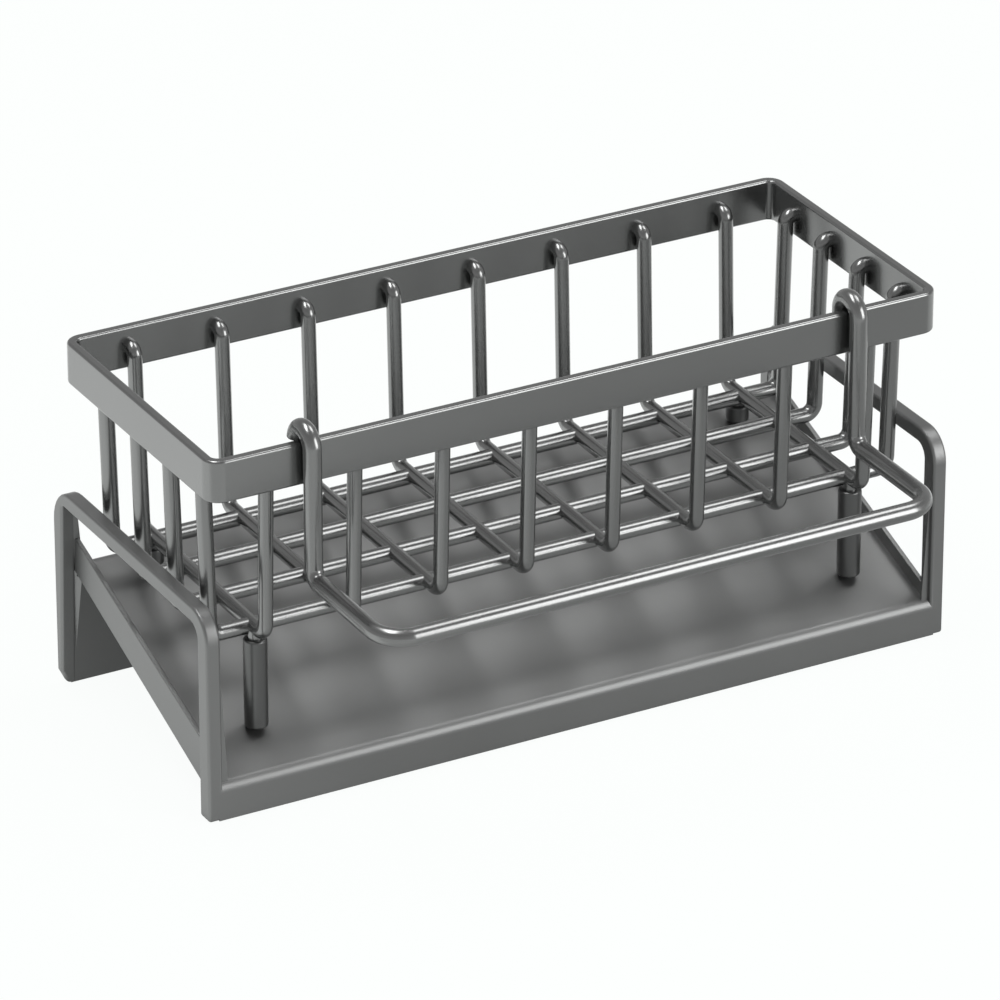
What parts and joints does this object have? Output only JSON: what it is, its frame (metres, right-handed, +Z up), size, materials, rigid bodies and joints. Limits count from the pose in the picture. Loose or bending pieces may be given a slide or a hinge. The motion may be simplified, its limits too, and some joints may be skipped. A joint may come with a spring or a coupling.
{
  "type": "sink organizer",
  "caption": "Grey wire sink caddy with a flat rim band, a hook-on towel bar at the front and capped feet, lifted out of a sloping open drip tray with looped end frames.",
  "frame": {"origin": "bottom centre of the whole object's box, on the surface that the tray stands on", "axes": "+X to the right along the basket, +Y to the back, +Z up; the towel bar is at -Y"},
  "size_m": [0.2356, 0.1427, 0.1144],
  "materials": {
    "tray": "satin gun-metal grey paint",
    "wire": "satin gun-metal grey coating",
    "cap": "matte grey"
  },
  "bodies": {
    "tray": {"drip_tray": "tray"},
    "basket": {"rim_band": "wire", "cross_wire_1": "wire", "cross_wire_2": "wire", "cross_wire_3": "wire", "cross_wire_4": "wire", "cross_wire_5": "wire", "cross_wire_6": "wire", "cross_wire_7": "wire", "cross_wire_8": "wire", "long_wire_1": "wire", "long_wire_2": "wire", "long_wire_3": "wire", "long_wire_4": "wire", "foot_pin_1": "wire", "foot_cap_1": "cap", "foot_pin_2": "wire", "foot_cap_2": "cap", "foot_pin_3": "wire", "foot_cap_3": "cap", "foot_pin_4": "wire", "foot_cap_4": "cap"},
    "towel_rail": {"towel_bar": "wire"}
  },
  "joints": [
    {"name": "basket_lift", "type": "slide", "parent": "tray", "child": "basket", "axis": [0, 0, 1], "range_m": [0, 0.1]},
    {"name": "towel_bar_unhook", "type": "slide", "parent": "basket", "child": "towel_rail", "axis": [0, 0, 1], "range_m": [0, 0.03]}
  ]
}
